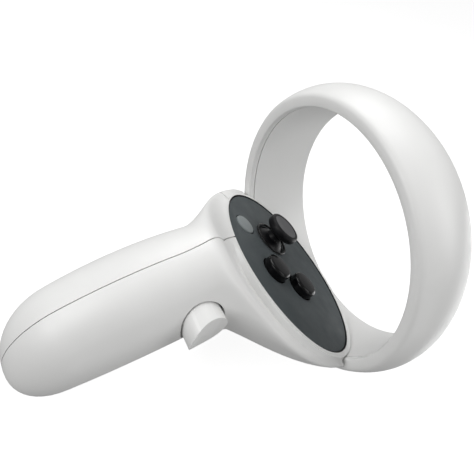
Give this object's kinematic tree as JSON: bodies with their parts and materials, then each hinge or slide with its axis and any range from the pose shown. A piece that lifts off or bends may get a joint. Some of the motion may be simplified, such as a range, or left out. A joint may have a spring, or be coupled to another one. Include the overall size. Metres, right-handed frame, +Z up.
{
  "type": "motion controller",
  "caption": "Hand-held VR motion controller with a thumbstick, buttons, trigger, grip key, a battery grip and a tracking ring.",
  "frame": {"origin": "on the surface the controller lies on, under the middle of its bounding box", "axes": "+X horizontally along the grip, from its end towards the ring; +Z up from the surface; +Y to the side that the thumb rest faces away from"},
  "size_m": [0.1202, 0.0924, 0.092],
  "materials": {
    "shell_white": "satin moulded, faintly textured",
    "ring_white": "satin moulded",
    "face_grey": "fine matte, slate grey",
    "gloss_black": "polished black",
    "stick_black": "matte rubber over black plastic",
    "button_grey": "satin grey",
    "inner_black": "moulded, dull",
    "board_green": "solder mask over glass fibre",
    "silicone_grey": "soft silicone",
    "steel": "bright steel",
    "brass": "plated brass",
    "cell_wrap": "plain printed sleeve"
  },
  "bodies": {
    "chassis": {"faceplate": "face_grey", "stick_collar": "gloss_black", "stick_base": "inner_black", "button_pad": "silicone_grey", "main_board": "board_green", "face_screw_1": "steel", "face_screw_2": "steel", "face_screw_3": "steel", "haptic_motor": "steel", "main_shell": "shell_white", "ring_outer_band": "ring_white", "ring_inner_band": "ring_white", "ring_led_strip": "board_green", "ring_screw_right": "steel", "ring_screw_left": "steel", "trigger_pin": "steel", "trigger_spring": "steel", "grip_pin": "steel", "grip_spring": "steel", "battery_tray": "inner_black", "aa_battery": "cell_wrap", "top_contact": "brass", "spring_contact": "steel"},
    "battery_cover": {"battery_cover": "shell_white"},
    "trigger": {"trigger_lever": "shell_white"},
    "grip_key": {"grip_button": "shell_white"},
    "lower_key": {"lower_button": "gloss_black"},
    "upper_key": {"upper_button": "gloss_black"},
    "system_key": {"system_button": "button_grey"},
    "yoke": {"stick_yoke": "steel"},
    "rocker": {"stick_rocker": "inner_black"},
    "thumbstick": {"thumbstick_cap": "stick_black"}
  },
  "joints": [
    {"name": "cover_slide", "type": "slide", "parent": "chassis", "child": "battery_cover", "axis": [-0.5432, 0.8382, 0.0488], "range_m": [0, 0.06]},
    {"name": "trigger_pull", "type": "hinge", "parent": "chassis", "child": "trigger", "pos_m": [0.0267, 0.01301, 0.01042], "axis": [-0.0355, 0.9336, 0.3566], "range_deg": [0, 12], "stiffness_Nm_per_rad": 0.12, "springref_deg": -8.59},
    {"name": "grip_squeeze", "type": "hinge", "parent": "chassis", "child": "grip_key", "pos_m": [-0.01105, -0.00473, 0.02619], "axis": [-0.9951, 0, -0.0991], "range_deg": [0, 6], "stiffness_Nm_per_rad": 0.15, "springref_deg": -6.88},
    {"name": "lower_button_press", "type": "slide", "parent": "chassis", "child": "lower_key", "axis": [-0.4597, 0.3016, -0.8353], "range_m": [0, 0.001], "stiffness_N_per_m": 600, "springref_m": -0.0005},
    {"name": "upper_button_press", "type": "slide", "parent": "chassis", "child": "upper_key", "axis": [-0.4597, 0.3016, -0.8353], "range_m": [0, 0.001], "stiffness_N_per_m": 600, "springref_m": -0.0005},
    {"name": "system_button_press", "type": "slide", "parent": "chassis", "child": "system_key", "axis": [-0.4597, 0.3016, -0.8353], "range_m": [0, 0.0005], "stiffness_N_per_m": 900, "springref_m": -0.0003},
    {"name": "stick_tilt_forward", "type": "hinge", "parent": "chassis", "child": "yoke", "pos_m": [0.02767, 0.01968, 0.02811], "axis": [0.0355, -0.9336, -0.3566], "range_deg": [-18, 18], "stiffness_Nm_per_rad": 0.02},
    {"name": "stick_tilt_sideways", "type": "hinge", "parent": "yoke", "child": "rocker", "pos_m": [0.02767, 0.01968, 0.02811], "axis": [0.8874, 0.1936, -0.4185], "range_deg": [-18, 18], "stiffness_Nm_per_rad": 0.02},
    {"name": "stick_press", "type": "slide", "parent": "rocker", "child": "thumbstick", "axis": [-0.4597, 0.3016, -0.8353], "range_m": [0, 0.0005], "stiffness_N_per_m": 900, "springref_m": -0.0005}
  ]
}
